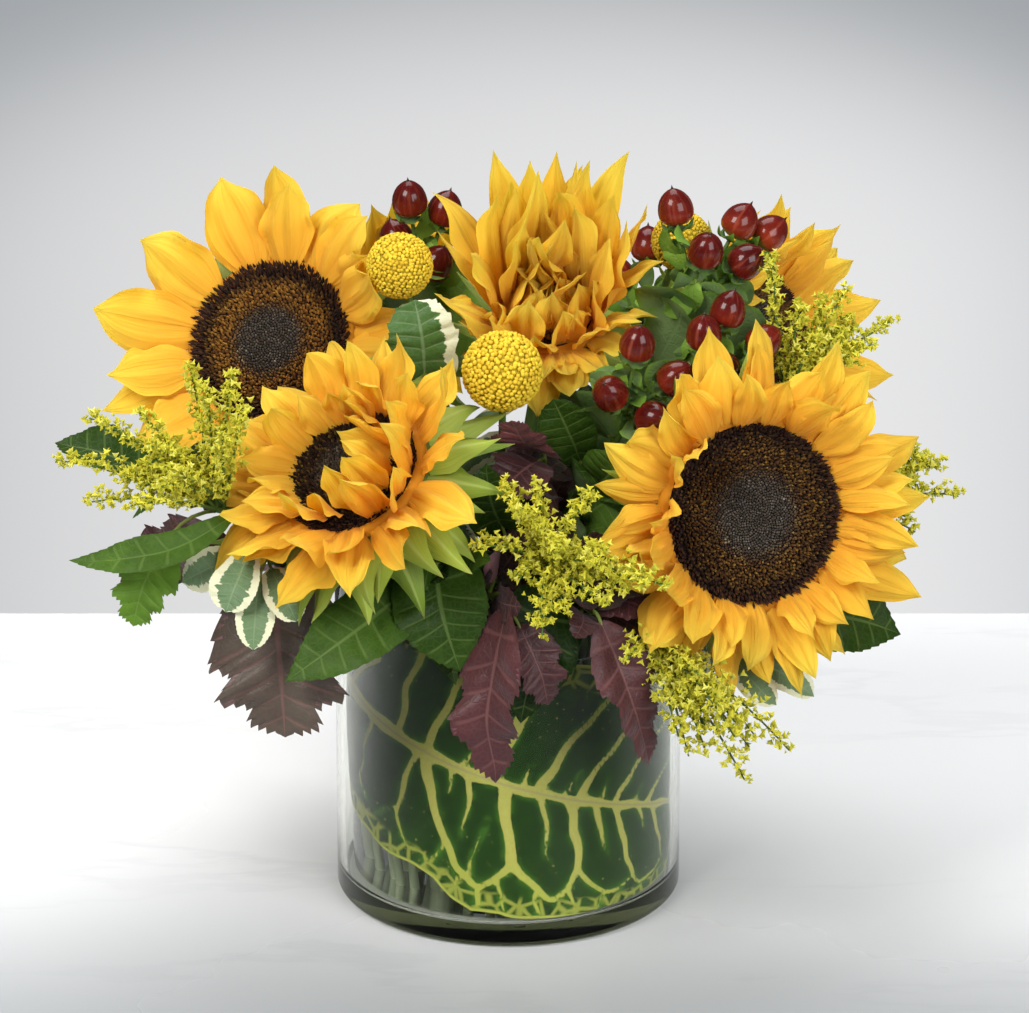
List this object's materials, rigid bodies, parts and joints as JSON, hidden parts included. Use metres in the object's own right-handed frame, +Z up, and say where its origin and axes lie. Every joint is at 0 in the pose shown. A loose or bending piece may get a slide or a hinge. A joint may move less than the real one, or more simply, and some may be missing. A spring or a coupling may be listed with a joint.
{
  "type": "sunflower arrangement in a glass vase",
  "caption": "Cut sunflowers with button flowers, red berries, goldenrod and mixed leaves, standing in water in a clear glass cylinder vase lined with a large variegated leaf.",
  "frame": {"origin": "middle of the vase's foot, on the surface that it stands on", "axes": "+Z up along the vase's axis, -Y towards the front of the arrangement, +X to its right"},
  "size_m": [0.3275, 0.2429, 0.2686],
  "materials": {
    "glass": "clear, polished",
    "water": "clear",
    "lining_leaf": "waxy, green with yellow veins",
    "petal": "soft, golden yellow",
    "seed_disc": "matte, rough florets",
    "green_stem": "satin, finely haired",
    "button": "matte, packed florets",
    "berry": "glossy",
    "goldenrod": "matte, small florets",
    "dark_leaf": "satin, quilted by its veins",
    "green_leaf": "satin",
    "edged_leaf": "satin, green with pale edges"
  },
  "bodies": {
    "root": {"vase": "glass", "water": "water", "lining_leaf_front": "lining_leaf", "lining_leaf_back": "lining_leaf", "sunflower_left_back_petals": "petal", "sunflower_left_back_disc": "seed_disc", "sunflower_left_back_stem": "green_stem", "sunflower_left_front_petals": "petal", "sunflower_left_front_disc": "seed_disc", "sunflower_left_front_stem": "green_stem", "sunflower_right_front_petals": "petal", "sunflower_right_front_disc": "seed_disc", "sunflower_right_front_stem": "green_stem", "sunflower_top_petals": "petal", "sunflower_top_disc": "seed_disc", "sunflower_top_stem": "green_stem", "sunflower_right_back_petals": "petal", "sunflower_right_back_disc": "seed_disc", "sunflower_right_back_stem": "green_stem", "sunflower_back_petals": "petal", "sunflower_back_disc": "seed_disc", "sunflower_back_stem": "green_stem", "button_flower_left_head": "button", "button_flower_left_stem": "green_stem", "button_flower_front_head": "button", "button_flower_front_stem": "green_stem", "button_flower_right_head": "button", "button_flower_right_stem": "green_stem", "button_flower_back_head": "button", "button_flower_back_stem": "green_stem", "berry_spray_left": "berry", "berry_spray_right": "berry", "berry_spray_front": "berry", "berry_spray_middle": "berry", "berry_spray_back": "berry", "goldenrod_left": "goldenrod", "goldenrod_front": "goldenrod", "goldenrod_low": "goldenrod", "goldenrod_right_top": "goldenrod", "goldenrod_right": "goldenrod", "goldenrod_back": "goldenrod", "dark_leaves_left": "dark_leaf", "dark_leaves_front": "dark_leaf", "dark_leaves_right": "dark_leaf", "dark_leaves_inner": "dark_leaf", "dark_leaves_back": "dark_leaf", "green_leaves_front": "green_leaf", "green_leaves_left": "green_leaf", "green_leaves_middle": "green_leaf", "green_leaves_inner": "green_leaf", "green_leaves_right": "green_leaf", "green_leaves_back": "green_leaf", "green_leaves_left_back": "green_leaf", "scalloped_leaf": "edged_leaf", "edged_leaves_left": "edged_leaf", "edged_leaves_right": "edged_leaf", "edged_leaves_back": "edged_leaf"}
  },
  "joints": []
}
